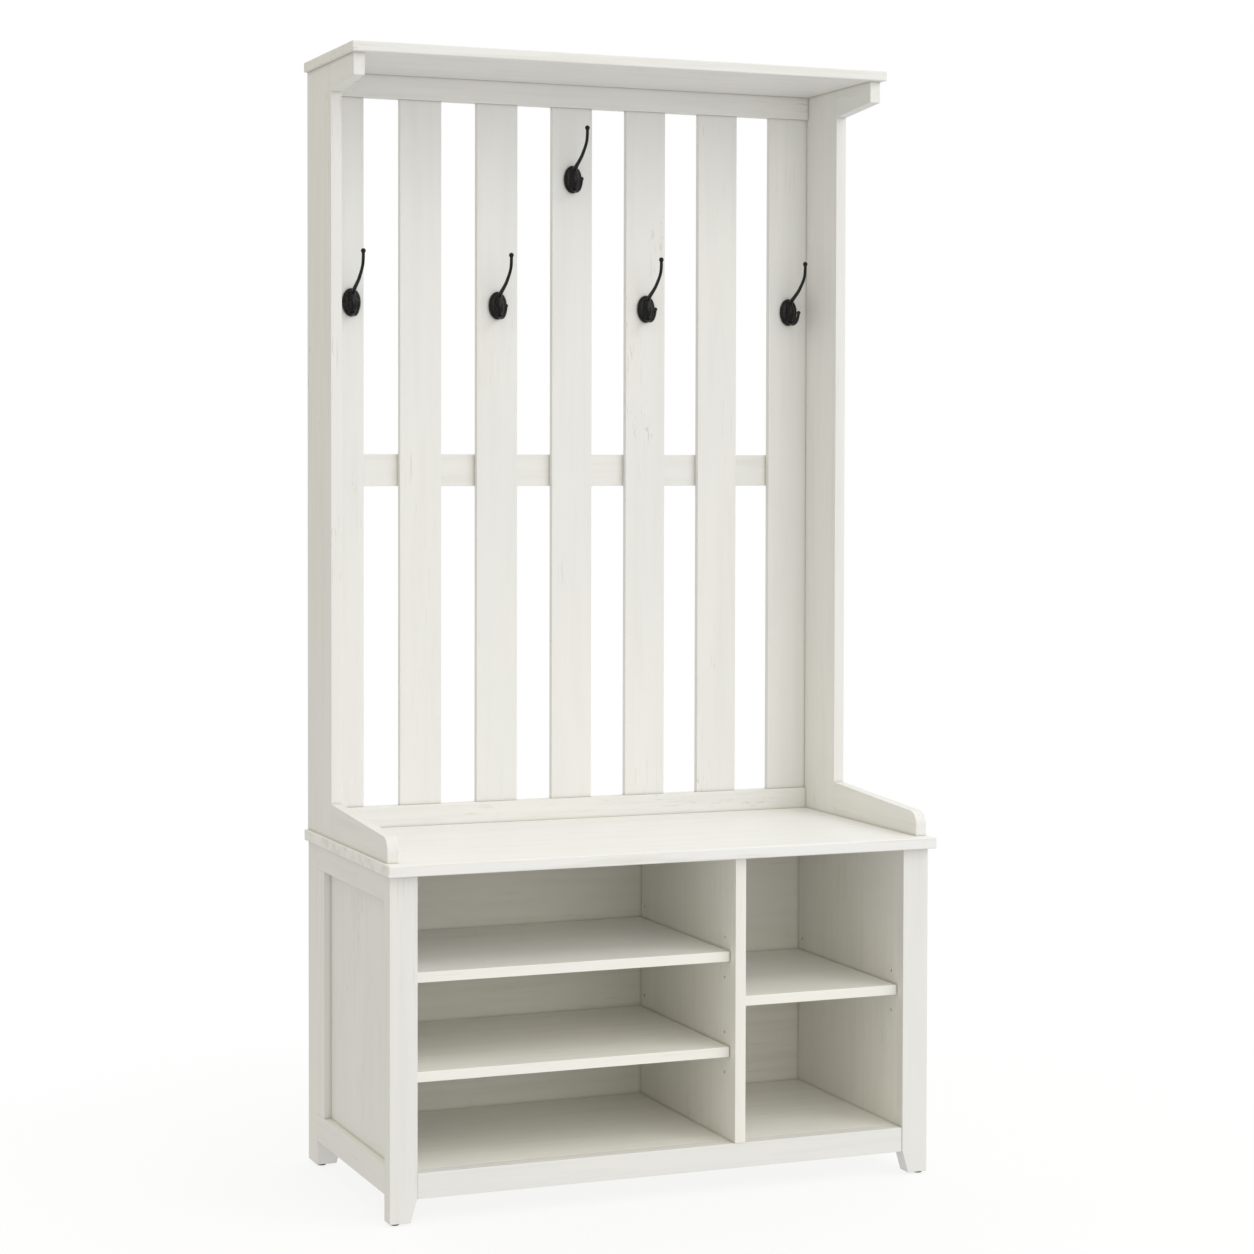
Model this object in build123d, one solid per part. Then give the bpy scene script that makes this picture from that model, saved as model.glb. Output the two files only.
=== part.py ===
from build123d import *
import os

# Hall tree: a shoe bench with five cubbies, a slatted back with five coat hooks, and a top shelf.
# Millimetres, +Z up, front towards -Y. The origin is on the floor under the middle of the bench top.
# A "depth" below is a distance forward from the back plane, which stands against the wall.

# Overall
total_height = 1800.0
bench_height = 547.0
bench_width = 922.0
bench_depth = 466.0
bench_side_overhang = 7.0
bench_front_overhang = 17.0
rack_inset = 6.0

# Bench: boards and legs
bench_top_thickness = 18.0
leg_width = 44.0
front_leg_depth = 28.0
back_leg_depth = 50.0
foot_width = 33.0
foot_taper_height = 38.0
side_frame_thickness = 26.0
side_top_rail_height = 41.0
side_bottom_rail_height = 44.0
side_bottom_rail_gap = 43.0
side_stile_width = 42.0
side_panel_thickness = 12.0
side_panel_recess = 12.0
side_panel_tongue = 8.0
liner_lap = 8.0
apron_gap = 38.0
apron_height = 39.0
apron_setback = 1.0
apron_end_gap = 0.4
floor_thickness = 18.0
back_panel_thickness = 6.0
back_panel_tongue = 4.0
divider_thickness = 18.0
divider_centre = 123.0

# Cubby shelves: the height of each top face above the ground
shelf_thickness = 16.0
shelf_clearance = 1.0
shelf_back_clearance = 2.0
left_lower_shelf_top = 226.5
left_upper_shelf_top = 378.0
right_shelf_top = 305.5

# Shelf pins and their rows of holes
pin_radius = 2.5
pin_fit = 0.05
pin_stud_length = 8.0
pin_hole_depth = 8.5
pin_hole_pitch = 32.0
pin_back_inset = 14.0
pin_front_inset = 22.0
pin_pad_length = 8.5
pin_pad_width = 7.0
pin_pad_height = 5.0
# Each shelf is notched underneath at its ends, so that its pins stand inside its thickness
pin_notch_height = 6.0
pin_notch_gap = 0.5

# Rack
upright_depth = 138.0
upright_thickness = 18.0
top_shelf_side_overhang = 6.0
top_shelf_depth = 279.0
top_shelf_thickness = 16.0
rail_thickness = 18.0
top_rail_height = 38.0
bottom_rail_height = 35.0
mid_rail_thickness = 9.0
mid_rail_height = 53.0
mid_rail_drop = 663.5
slat_count = 7
slat_width = 71.4
slat_thickness = 12.0

# Ears beside the seat and brackets under the top shelf
ear_setback = 26.0
ear_back_height = 56.0
ear_front_height = 38.0
ear_corner_radius = 22.0
bracket_setback = 14.0
bracket_back_height = 46.0
bracket_front_height = 35.0

# Coat hooks: (slat number, drop from the very top to the plate's centre, shift towards the middle)
hook_rows = {
    "hook_top": (4, 174.0, 0.0),
    "hook_far_left": (1, 389.0, 14.0),
    "hook_centre_left": (3, 389.0, 0.0),
    "hook_centre_right": (5, 389.0, 0.0),
    "hook_far_right": (7, 389.0, 0.0),
}
hook_plate_width = 31.5
hook_plate_height = 46.5
hook_plate_thickness = 7.5
hook_plate_round = 5.0
hook_rod_radius = 2.7
hook_upper_ball_radius = 4.0
hook_lower_ball_radius = 3.4
# The upper prong's route, as (distance out from the slat, height above the plate's centre), and its bends
hook_upper_route = ((9.0, 14.0), (45.0, 34.5), (70.0, 59.0), (70.0, 80.0))
hook_upper_bends = (90.0, 25.0)
# A thick upright spine in front of the plate joins the two prongs: its reach, and its two ends
hook_spine_radius = 4.5
hook_spine_reach = 11.5
hook_spine_top = 10.0
hook_spine_bottom = -8.0
# The lower prong is one arc about a point in front of the plate, from its ball round to the plate
hook_lower_centre = (22.5, 1.5)
hook_lower_radius = 22.0
hook_lower_start = 10.0
hook_lower_sweep = 140.0

# Glides under the legs
glide_height = 3.0
glide_radius = 7.0
glide_nail_radius = 1.5
glide_nail_length = 14.0
glide_inset = 11.0
glide_edge_radius = 1.0

# Fasteners and fits
edge_round = 0.8
top_edge_round = 2.0
panel_fit = 0.2
bore_fit = 0.05
bore_end_gap = 1.0
cut_overrun = 1.0
dowel_radius = 4.0
slim_dowel_radius = 3.0
dowel_length = 30.0
dowel_chamfer = 0.8
dowel_cover = 6.0
screw_head_ratio = 1.8
screw_drive_ratio = 0.7
pan_head_ratio = 1.9
frame_screw_radius = 2.5
frame_screw_length = 45.0
slat_screw_radius = 1.75
slat_screw_length = 16.0
panel_screw_radius = 1.5
panel_screw_length = 18.0
hook_screw_radius = 2.0
hook_screw_bite = 5.0
hook_screw_spacing = 26.0
cam_radius = 7.5
cam_depth = 12.5
cam_bolt_radius = 3.0
cam_bolt_bite = 11.0
cam_bolt_reach = 24.0
cam_drive_depth = 1.5

# Places of the fasteners: insets from the ends of a joint, and shares of its length
dowel_inset = 60.0
rail_dowel_share = 1 / 3
slim_dowel_share = 0.25
cam_inset = 110.0
bench_cam_setback = 170.0
liner_dowel_inset = 30.0
liner_dowel_middle = 13.0
end_shares = (0.2, 0.8)
screw_shares = (0.4, 0.6)
bracket_shares = (0.35, 0.8)
panel_screw_shares = (0.2, 0.5, 0.8)
floor_screw_shares = (-0.8, -0.3, 0.7)
slat_dowel_share = 0.2
# Screws into the top and bottom rails stand between slats, this many slat pitches from the middle
rail_screw_gaps = (0.5, 2.5)

# Levels and planes that the pieces share
back_y = bench_depth / 2
body_width = bench_width - 2 * bench_side_overhang
body_depth = bench_depth - bench_front_overhang
rack_width = bench_width - 2 * rack_inset
top_shelf_width = rack_width + 2 * top_shelf_side_overhang
mid_rail_centre = total_height - mid_rail_drop
ear_front = bench_depth - ear_setback
bracket_front = top_shelf_depth - bracket_setback
bench_underside = bench_height - bench_top_thickness
body_side = body_width / 2
cubby_side = body_side - leg_width
liner_thickness = leg_width - side_frame_thickness
leg_back_plane = body_depth - front_leg_depth
liner_front = leg_back_plane + liner_lap
floor_top = apron_gap + apron_height
cubby_back = back_leg_depth + back_panel_thickness
panel_bottom = side_bottom_rail_gap + side_bottom_rail_height
panel_top = bench_underside - side_top_rail_height
rack_side = rack_width / 2
rack_inner = rack_side - upright_thickness
upright_x = rack_side - upright_thickness / 2
shelf_underside = total_height - top_shelf_thickness
slat_bottom = bench_height + bottom_rail_height
slat_top = shelf_underside - top_rail_height
slat_front = mid_rail_thickness + slat_thickness
slat_middle = mid_rail_thickness + slat_thickness / 2
rail_middle = mid_rail_thickness + rail_thickness / 2
slat_pitch = (2 * rack_inner - slat_width) / (slat_count - 1)
sides = {"left": -1, "right": 1}

UP = (0, 0, 1)
DOWN = (0, 0, -1)
BACKWARD = (0, 1, 0)
FORWARD = (0, -1, 0)

parts = {}
cutters = {}
groups = {}


# A point from its place across, its depth in front of the back plane, and its height.
def at(x, depth, z):
    return (x, back_y - depth, z)


def add(name, solid):
    parts[name] = solid
    cutters[name] = []


def block(x_span, depth_span, z_span):
    low = Vector(min(x_span), back_y - max(depth_span), min(z_span))
    high = Vector(max(x_span), back_y - min(depth_span), max(z_span))
    size = high - low
    return Pos(*low) * Box(size.X, size.Y, size.Z, align=(Align.MIN, Align.MIN, Align.MIN))


def board(name, x_span, depth_span, z_span, round_by=edge_round):
    blank = block(x_span, depth_span, z_span)
    add(name, fillet(blank.edges(), round_by) if round_by else blank)


def rod(radius, start, direction, length):
    return Solid.make_cylinder(radius, length, Plane(origin=start, z_dir=direction))


def cone(start_radius, end_radius, start, direction, length):
    return Solid.make_cone(start_radius, end_radius, length, Plane(origin=start, z_dir=direction))


def along(start, direction, distance):
    return tuple(Vector(*start) + Vector(*direction) * distance)


# A profile drawn in depth and height, as thick as x_span is wide.
def side_profile(points, x_span, corner=None, corner_radius=0.0):
    outline = make_face(Polyline(*[(back_y - depth, z) for depth, z in points], close=True))
    if corner:
        place = Vector(back_y - corner[0], corner[1])
        vertex = outline.vertices().sort_by_distance(place)[0]
        outline = fillet(vertex, corner_radius)
    blank = extrude(Plane.YZ.offset(min(x_span)) * outline, max(x_span) - min(x_span))
    return fillet(blank.edges(), edge_round)


# A dowel across the joint at one point: it sinks into one piece and stands out into the other.
def dowel(group, near, far, point, direction, sink, radius=dowel_radius):
    start = along(point, direction, -sink)
    pin = rod(radius, start, direction, dowel_length)
    groups.setdefault(group, []).append(chamfer(pin.edges().filter_by(GeomType.CIRCLE), dowel_chamfer))
    bore_radius = radius + bore_fit
    bore_start = along(start, direction, -bore_end_gap)
    cutters[near].append(rod(bore_radius, bore_start, direction, sink + bore_end_gap))
    cutters[far].append(rod(bore_radius, point, direction, dowel_length - sink + bore_end_gap))


# A countersunk screw, driven from its head's face through one piece and into the next.
def screw(group, through, into, point, direction, radius, length, thickness):
    head_radius = radius * screw_head_ratio
    head_height = head_radius - radius
    shank = rod(radius, along(point, direction, head_height), direction, length - head_height)
    head = cone(head_radius, radius, point, direction, head_height)
    middle = along(point, direction, head_height / 2)
    slot_width = radius * screw_drive_ratio / 2
    blade = Plane(origin=middle, z_dir=direction) * Box(head_radius, slot_width, head_height)
    drive = blade + blade.rotate(Axis(point, direction), 90)
    groups.setdefault(group, []).append((shank + head) - drive)
    sink = cone(head_radius + bore_fit, radius + bore_fit, point, direction, head_height)
    bore = rod(radius + bore_fit, point, direction, thickness)
    cutters[through] += [sink, bore]
    joint = along(point, direction, thickness)
    cutters[into].append(rod(radius + bore_fit, joint, direction, length - thickness + bore_end_gap))


# A cam bolt screwed into one piece, and the cam lock that holds its head inside the other.
def cam_joint(bolt_part, cam_part, point, direction, cam_face, face_direction):
    bolt_start = along(point, direction, -cam_bolt_bite)
    bolt = rod(cam_bolt_radius, bolt_start, direction, cam_bolt_bite + cam_bolt_reach)
    groups.setdefault("cam_bolts", []).append(bolt)
    inward = tuple(-1 * Vector(*face_direction))
    lock = rod(cam_radius - bore_fit, cam_face, inward, cam_depth - bore_end_gap)
    throat = rod(cam_bolt_radius + pin_fit, point, direction, cam_bolt_reach + bore_end_gap)
    drive = rod(cam_bolt_radius, cam_face, inward, cam_drive_depth)
    groups.setdefault("cam_locks", []).append(lock - throat - drive)
    bite = cam_bolt_bite + bore_end_gap
    bolt_start = along(point, direction, -bite)
    cutters[bolt_part].append(rod(cam_bolt_radius + bore_fit, bolt_start, direction, bite))
    cutters[cam_part] += [throat, rod(cam_radius, cam_face, inward, cam_depth)]


def build_bench_boards():
    half = bench_width / 2
    board("bench_top", (-half, half), (0, bench_depth), (bench_underside, bench_height), top_edge_round)
    apron_half = cubby_side - apron_end_gap
    apron_face = body_depth - apron_setback
    board("front_apron", (-apron_half, apron_half), (leg_back_plane, apron_face), (apron_gap, floor_top))
    floor_span = (floor_top - floor_thickness, floor_top)
    board("floor_board", (-cubby_side, cubby_side), (cubby_back, leg_back_plane), floor_span)
    divider_span = (divider_centre - divider_thickness / 2, divider_centre + divider_thickness / 2)
    board("divider", divider_span, (cubby_back, body_depth), (floor_top, bench_underside))
    panel_half = cubby_side + back_panel_tongue
    panel_levels = (floor_top - floor_thickness, bench_underside)
    board("back_panel", (-panel_half, panel_half), (back_leg_depth, cubby_back), panel_levels, 0)


def leg(name, sign, depth_span):
    board(name, (sign * body_side, sign * cubby_side), depth_span, (glide_height, bench_underside))
    taper_top = glide_height + foot_taper_height
    wedge = Polyline(
        (sign * cubby_side, taper_top),
        (sign * (body_side - foot_width), glide_height),
        (sign * cubby_side, glide_height),
        close=True,
    )
    plane = Plane(origin=at(0, min(depth_span), 0), x_dir=(1, 0, 0), z_dir=FORWARD)
    cutters[name].append(extrude(plane * make_face(wedge), max(depth_span) - min(depth_span)))


def build_side(side, sign):
    frame_inner = body_side - side_frame_thickness
    frame_span = (sign * body_side, sign * frame_inner)
    side_depths = (back_leg_depth, leg_back_plane)
    front_leg, back_leg = f"front_leg_{side}", f"back_leg_{side}"
    top_rail, bottom_rail = f"side_top_rail_{side}", f"side_bottom_rail_{side}"
    stile, liner, panel = f"side_stile_{side}", f"side_liner_{side}", f"side_panel_{side}"
    leg(front_leg, sign, (leg_back_plane, body_depth))
    leg(back_leg, sign, (0, back_leg_depth))
    board(top_rail, frame_span, side_depths, (panel_top, bench_underside))
    board(bottom_rail, frame_span, side_depths, (side_bottom_rail_gap, panel_bottom))
    stile_front = back_leg_depth + side_stile_width
    board(stile, frame_span, (back_leg_depth, stile_front), (panel_bottom, panel_top))
    liner_span = (sign * frame_inner, sign * cubby_side)
    liner_levels = (side_bottom_rail_gap, bench_underside)
    board(liner, liner_span, (back_leg_depth, liner_front), liner_levels)
    lap_span = (sign * frame_inner, sign * (cubby_side - cut_overrun))
    lap_depths = (leg_back_plane - cut_overrun, liner_front)
    cutters[front_leg].append(block(lap_span, lap_depths, liner_levels))

    panel_outer = body_side - side_panel_recess
    panel_inner = panel_outer - side_panel_thickness
    tongue = side_panel_tongue
    panel_depths = (stile_front - tongue, leg_back_plane + tongue)
    panel_levels = (panel_bottom - tongue, panel_top + tongue)
    board(panel, (sign * panel_outer, sign * panel_inner), panel_depths, panel_levels, 0)
    groove = block(
        (sign * (panel_outer + panel_fit), sign * (panel_inner - panel_fit)),
        (panel_depths[0] - bore_end_gap, panel_depths[1] + bore_end_gap),
        (panel_levels[0] - bore_end_gap, panel_levels[1] + bore_end_gap),
    )
    for name in (front_leg, top_rail, bottom_rail, stile):
        cutters[name].append(groove)
    rabbet_edge = cubby_side + back_panel_tongue + panel_fit
    rabbet_depths = (back_leg_depth - cut_overrun, cubby_back + panel_fit)
    rabbet_span = (sign * (cubby_side - cut_overrun), sign * rabbet_edge)
    rabbet_floor = floor_top - floor_thickness - panel_fit
    rabbet = block(rabbet_span, rabbet_depths, (rabbet_floor, bench_height))
    cutters[liner].append(rabbet)

    frame_x = sign * (body_side - side_frame_thickness / 2)
    liner_x = sign * (cubby_side + liner_thickness / 2)
    half_dowel = dowel_length / 2
    top_level = bench_underside - side_top_rail_height * rail_dowel_share
    bottom_level = side_bottom_rail_gap + side_bottom_rail_height * rail_dowel_share
    for rail, level in ((top_rail, top_level), (bottom_rail, bottom_level)):
        dowel("wood_dowels", front_leg, rail, at(frame_x, leg_back_plane, level), BACKWARD, half_dowel)
        dowel("wood_dowels", back_leg, rail, at(frame_x, back_leg_depth, level), FORWARD, half_dowel)
    stile_middle = back_leg_depth + side_stile_width / 2
    dowel("wood_dowels", top_rail, stile, at(frame_x, stile_middle, panel_top), DOWN, half_dowel)
    dowel("wood_dowels", bottom_rail, stile, at(frame_x, stile_middle, panel_bottom), UP, half_dowel)
    liner_middle = (panel_bottom + panel_top) / 2 + liner_dowel_middle
    liner_front_sink = body_depth - liner_front - dowel_cover
    for level in (panel_bottom + liner_dowel_inset, liner_middle, panel_top - liner_dowel_inset):
        dowel("wood_dowels", front_leg, liner, at(liner_x, liner_front, level), BACKWARD, liner_front_sink)
        dowel("wood_dowels", back_leg, liner, at(liner_x, back_leg_depth, level), FORWARD, half_dowel)

    sink = liner_thickness - dowel_cover
    dowel_depths = (cubby_back + dowel_inset, leg_back_plane - dowel_inset)
    cam_depths = (cubby_back + cam_inset, leg_back_plane - cam_inset)
    floor_middle = floor_top - floor_thickness / 2
    inward = (-sign, 0, 0)
    for depth in dowel_depths:
        dowel("wood_dowels", liner, "floor_board", at(sign * cubby_side, depth, floor_middle), inward, sink)
    for depth in cam_depths:
        joint = at(sign * cubby_side, depth, floor_middle)
        lock = at(sign * (cubby_side - cam_bolt_reach), depth, floor_top - floor_thickness)
        cam_joint(liner, "floor_board", joint, inward, lock, DOWN)
        dowel("wood_dowels", "bench_top", liner, at(liner_x, depth, bench_underside), DOWN, sink)
    for depth in (dowel_depths[0], leg_back_plane - bench_cam_setback):
        joint = at(liner_x, depth, bench_underside)
        lock = at(sign * cubby_side, depth, bench_underside - cam_bolt_reach)
        cam_joint("bench_top", liner, joint, DOWN, lock, inward)
    apron_depth = (leg_back_plane + body_depth - apron_setback) / 2
    apron_end = at(sign * (cubby_side - apron_end_gap), apron_depth, apron_gap + apron_height / 2)
    dowel("wood_dowels", front_leg, "front_apron", apron_end, inward, half_dowel)


def build_divider_joints():
    top_sink = bench_top_thickness - dowel_cover
    floor_sink = floor_thickness - dowel_cover
    for depth in (cubby_back + dowel_inset, leg_back_plane - dowel_inset):
        top_joint = at(divider_centre, depth, bench_underside)
        floor_joint = at(divider_centre, depth, floor_top)
        dowel("wood_dowels", "bench_top", "divider", top_joint, DOWN, top_sink)
        dowel("wood_dowels", "floor_board", "divider", floor_joint, UP, floor_sink)
    for depth in (cubby_back + cam_inset, leg_back_plane - cam_inset):
        head = at(divider_centre, depth, floor_top - floor_thickness)
        size = (frame_screw_radius, frame_screw_length, floor_thickness)
        screw("frame_screws", "floor_board", "divider", head, UP, *size)
    screw_size = (panel_screw_radius, panel_screw_length, back_panel_thickness)
    levels = bench_underside - floor_top
    for share in panel_screw_shares:
        head = at(divider_centre, back_leg_depth, floor_top + share * levels)
        screw("back_panel_screws", "back_panel", "divider", head, FORWARD, *screw_size)
    for share in floor_screw_shares:
        head = at(share * cubby_side, back_leg_depth, floor_top - floor_thickness / 2)
        screw("back_panel_screws", "back_panel", "floor_board", head, FORWARD, *screw_size)


# One shelf, the four pins under it, and their rows of holes: one in use, one above and one below.
def build_cubby_shelf(name, left_wall, left_x, right_wall, right_x, top):
    underside = top - shelf_thickness
    depths = (cubby_back + shelf_back_clearance, liner_front)
    board(name, (left_x + shelf_clearance, right_x - shelf_clearance), depths, (underside, top))
    pin_top = underside + pin_notch_height
    pin_level = pin_top - pin_pad_height / 2
    for wall, wall_x, inward in ((left_wall, left_x, 1), (right_wall, right_x, -1)):
        for depth in (depths[0] + pin_back_inset, depths[1] - pin_front_inset):
            stud_start = at(wall_x - inward * pin_stud_length, depth, pin_level)
            stud = rod(pin_radius - pin_fit, stud_start, (inward, 0, 0), pin_stud_length)
            pad = block(
                (wall_x, wall_x + inward * pin_pad_length),
                (depth - pin_pad_width / 2, depth + pin_pad_width / 2),
                (pin_top - pin_pad_height, pin_top),
            )
            groups.setdefault("shelf_pins", []).append(pad + stud)
            notch_half = pin_pad_width / 2 + pin_notch_gap
            notch = block(
                (wall_x, wall_x + inward * (pin_pad_length + pin_notch_gap)),
                (depth - notch_half, depth + notch_half),
                (underside - cut_overrun, pin_top),
            )
            cutters[name].append(notch)
            for row in (-1, 0, 1):
                mouth = at(wall_x, depth, pin_level + row * pin_hole_pitch)
                cutters[wall].append(rod(pin_radius, mouth, (-inward, 0, 0), pin_hole_depth))


def build_cubby_shelves():
    divider_left = divider_centre - divider_thickness / 2
    divider_right = divider_centre + divider_thickness / 2
    left_cubby = ("side_liner_left", -cubby_side, "divider", divider_left)
    right_cubby = ("divider", divider_right, "side_liner_right", cubby_side)
    build_cubby_shelf("shelf_left_lower", *left_cubby, left_lower_shelf_top)
    build_cubby_shelf("shelf_left_upper", *left_cubby, left_upper_shelf_top)
    build_cubby_shelf("shelf_right", *right_cubby, right_shelf_top)


def build_glides():
    glide_x = body_side - glide_inset
    for side, sign in sides.items():
        for name, front in ((f"front_leg_{side}", body_depth), (f"back_leg_{side}", back_leg_depth)):
            point = at(sign * glide_x, front - glide_inset, 0)
            foot = at(sign * glide_x, front - glide_inset, glide_height)
            disc = rod(glide_radius, point, UP, glide_height)
            disc = fillet(disc.edges().group_by(Axis.Z)[0], glide_edge_radius)
            nail = rod(glide_nail_radius, foot, UP, glide_nail_length)
            groups.setdefault("leg_glides", []).append(disc + nail)
            nail_bore = rod(glide_nail_radius + bore_fit, foot, UP, glide_nail_length + bore_end_gap)
            cutters[name].append(nail_bore)


def build_rack_boards():
    half = top_shelf_width / 2
    board("top_shelf", (-half, half), (0, top_shelf_depth), (shelf_underside, total_height), top_edge_round)
    rail_span = (-rack_inner, rack_inner)
    rail_depths = (mid_rail_thickness, mid_rail_thickness + rail_thickness)
    board("top_rail", rail_span, rail_depths, (slat_top, shelf_underside))
    board("bottom_rail", rail_span, rail_depths, (bench_height, slat_bottom))
    mid_low = mid_rail_centre - mid_rail_height / 2
    board("mid_rail", rail_span, (0, mid_rail_thickness), (mid_low, mid_low + mid_rail_height))
    for side, sign in sides.items():
        board(f"upright_{side}", (sign * rack_inner, sign * rack_side), (0, upright_depth),
              (bench_height, shelf_underside))
        build_ear(side, sign)
        build_bracket(side, sign)


def build_ear(side, sign):
    corner = (ear_front, bench_height + ear_front_height)
    outline = [
        (upright_depth, bench_height),
        (ear_front, bench_height),
        corner,
        (upright_depth, bench_height + ear_back_height),
    ]
    name = f"ear_{side}"
    add(name, side_profile(outline, (sign * rack_inner, sign * rack_side), corner, ear_corner_radius))
    joint = at(sign * upright_x, upright_depth, bench_height + ear_back_height / 2)
    dowel("wood_dowels", f"upright_{side}", name, joint, FORWARD, dowel_length / 2)
    ear_length = ear_front - upright_depth
    for share in end_shares:
        foot = at(sign * upright_x, upright_depth + share * ear_length, bench_height)
        dowel("wood_dowels", "bench_top", name, foot, UP, bench_top_thickness - dowel_cover)
    head = at(sign * upright_x, upright_depth + ear_length / 2, bench_underside)
    size = (frame_screw_radius, frame_screw_length, bench_top_thickness)
    screw("frame_screws", "bench_top", name, head, UP, *size)


def build_bracket(side, sign):
    outline = [
        (upright_depth, shelf_underside),
        (bracket_front, shelf_underside),
        (bracket_front, shelf_underside - bracket_front_height),
        (upright_depth, shelf_underside - bracket_back_height),
    ]
    name = f"bracket_{side}"
    add(name, side_profile(outline, (sign * rack_inner, sign * rack_side)))
    joint = at(sign * upright_x, upright_depth, shelf_underside - bracket_back_height / 2)
    dowel("wood_dowels", f"upright_{side}", name, joint, FORWARD, dowel_length / 2)
    for share in bracket_shares:
        depth = upright_depth + share * (bracket_front - upright_depth)
        top = at(sign * upright_x, depth, shelf_underside)
        dowel("wood_dowels", "top_shelf", name, top, DOWN, top_shelf_thickness - dowel_cover)


def build_rack_joints():
    bench_screw = (frame_screw_radius, frame_screw_length, bench_top_thickness)
    shelf_screw = (frame_screw_radius, frame_screw_length, top_shelf_thickness)
    for side, sign in sides.items():
        upright = f"upright_{side}"
        inward = (-sign, 0, 0)
        for share in end_shares:
            depth = share * upright_depth
            foot = at(sign * upright_x, depth, bench_height)
            dowel("wood_dowels", "bench_top", upright, foot, UP, bench_top_thickness - dowel_cover)
            head = at(sign * upright_x, depth, shelf_underside)
            dowel("wood_dowels", "top_shelf", upright, head, DOWN, top_shelf_thickness - dowel_cover)
        for share in screw_shares:
            depth = share * upright_depth
            under = at(sign * upright_x, depth, bench_underside)
            screw("frame_screws", "bench_top", upright, under, UP, *bench_screw)
            above = at(sign * upright_x, depth, total_height)
            screw("frame_screws", "top_shelf", upright, above, DOWN, *shelf_screw)
        sink = upright_thickness - dowel_cover
        top_joint = at(sign * rack_inner, rail_middle, shelf_underside - top_rail_height * slim_dowel_share)
        bottom_level = bench_height + bottom_rail_height * slim_dowel_share
        bottom_joint = at(sign * rack_inner, rail_middle, bottom_level)
        dowel("wood_dowels", upright, "top_rail", top_joint, inward, sink)
        dowel("wood_dowels", upright, "bottom_rail", bottom_joint, inward, sink)
        for offset in (-mid_rail_height * slim_dowel_share, mid_rail_height * slim_dowel_share):
            joint = at(sign * rack_inner, mid_rail_thickness / 2, mid_rail_centre + offset)
            dowel("slim_dowels", upright, "mid_rail", joint, inward, sink, slim_dowel_radius)
        for gap in rail_screw_gaps:
            x = sign * gap * slat_pitch
            under = at(x, rail_middle, bench_underside)
            screw("frame_screws", "bench_top", "bottom_rail", under, UP, *bench_screw)
            above = at(x, rail_middle, total_height)
            screw("frame_screws", "top_shelf", "top_rail", above, DOWN, *shelf_screw)


def slat_x(number):
    return (number - (slat_count + 1) / 2) * slat_pitch


def build_slats():
    half_dowel = dowel_length / 2
    slat_screw = (slat_screw_radius, slat_screw_length, mid_rail_thickness)
    for number in range(1, slat_count + 1):
        name = f"slat_{number}"
        x = slat_x(number)
        span = (x - slat_width / 2, x + slat_width / 2)
        board(name, span, (mid_rail_thickness, slat_front), (slat_bottom, slat_top))
        for offset in (-slat_dowel_share * slat_width, slat_dowel_share * slat_width):
            foot = at(x + offset, slat_middle, slat_bottom)
            dowel("slim_dowels", "bottom_rail", name, foot, UP, half_dowel, slim_dowel_radius)
            head = at(x + offset, slat_middle, slat_top)
            dowel("slim_dowels", "top_rail", name, head, DOWN, half_dowel, slim_dowel_radius)
            back = at(x + offset, 0, mid_rail_centre)
            screw("slat_screws", "mid_rail", name, back, FORWARD, *slat_screw)


# One hook: an oval plate, a long upper prong that sweeps out and up, and a short lower prong below it.
def build_hook(name, slat_number, drop, shift):
    x = slat_x(slat_number)
    x = x - shift if x > 0 else x + shift
    slat = f"slat_{slat_number}"

    def reach(out, up):
        return at(x, slat_front + out, total_height - drop + up)

    face = Plane(origin=reach(0, 0), x_dir=(1, 0, 0), z_dir=(0, -1, 0))
    plate = extrude(face * Ellipse(hook_plate_width / 2, hook_plate_height / 2), hook_plate_thickness)
    rim = plate.edges().sort_by(Axis.Y)[0]
    plate = fillet(rim, hook_plate_round)

    upper_path = FilletPolyline(*[reach(*place) for place in hook_upper_route], radius=hook_upper_bends)
    upper = sweep(Plane(upper_path @ 0, z_dir=upper_path % 0) * Circle(hook_rod_radius), upper_path)
    arc_plane = Plane(origin=reach(*hook_lower_centre), x_dir=(0, -1, 0), z_dir=(1, 0, 0))
    lower_path = arc_plane * CenterArc((0, 0), hook_lower_radius, hook_lower_start, hook_lower_sweep)
    lower = sweep(Plane(lower_path @ 0, z_dir=lower_path % 0) * Circle(hook_rod_radius), lower_path)
    upper_ball = Pos(*(upper_path @ 1)) * Sphere(hook_upper_ball_radius)
    lower_ball = Pos(*(lower_path @ 0)) * Sphere(hook_lower_ball_radius)
    spine_foot = reach(hook_spine_reach, hook_spine_bottom)
    spine = rod(hook_spine_radius, spine_foot, UP, hook_spine_top - hook_spine_bottom)
    spine = spine + Pos(*spine_foot) * Sphere(hook_spine_radius)
    spine = spine + Pos(*reach(hook_spine_reach, hook_spine_top)) * Sphere(hook_spine_radius)
    add(name, plate + spine + upper + lower + upper_ball + lower_ball)

    for offset in (-hook_screw_spacing / 2, hook_screw_spacing / 2):
        slat_back = reach(-slat_thickness, offset)
        length = slat_thickness + hook_screw_bite
        shank = rod(hook_screw_radius - bore_fit, slat_back, FORWARD, length)
        head = rod(hook_screw_radius * pan_head_ratio, slat_back, BACKWARD, hook_screw_radius)
        groups.setdefault("hook_screws", []).append(shank + head)
        cutters[slat].append(rod(hook_screw_radius + bore_fit, slat_back, FORWARD, slat_thickness))
        bore = rod(hook_screw_radius, reach(0, offset), FORWARD, hook_screw_bite + bore_end_gap)
        cutters[name].append(bore)


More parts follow.
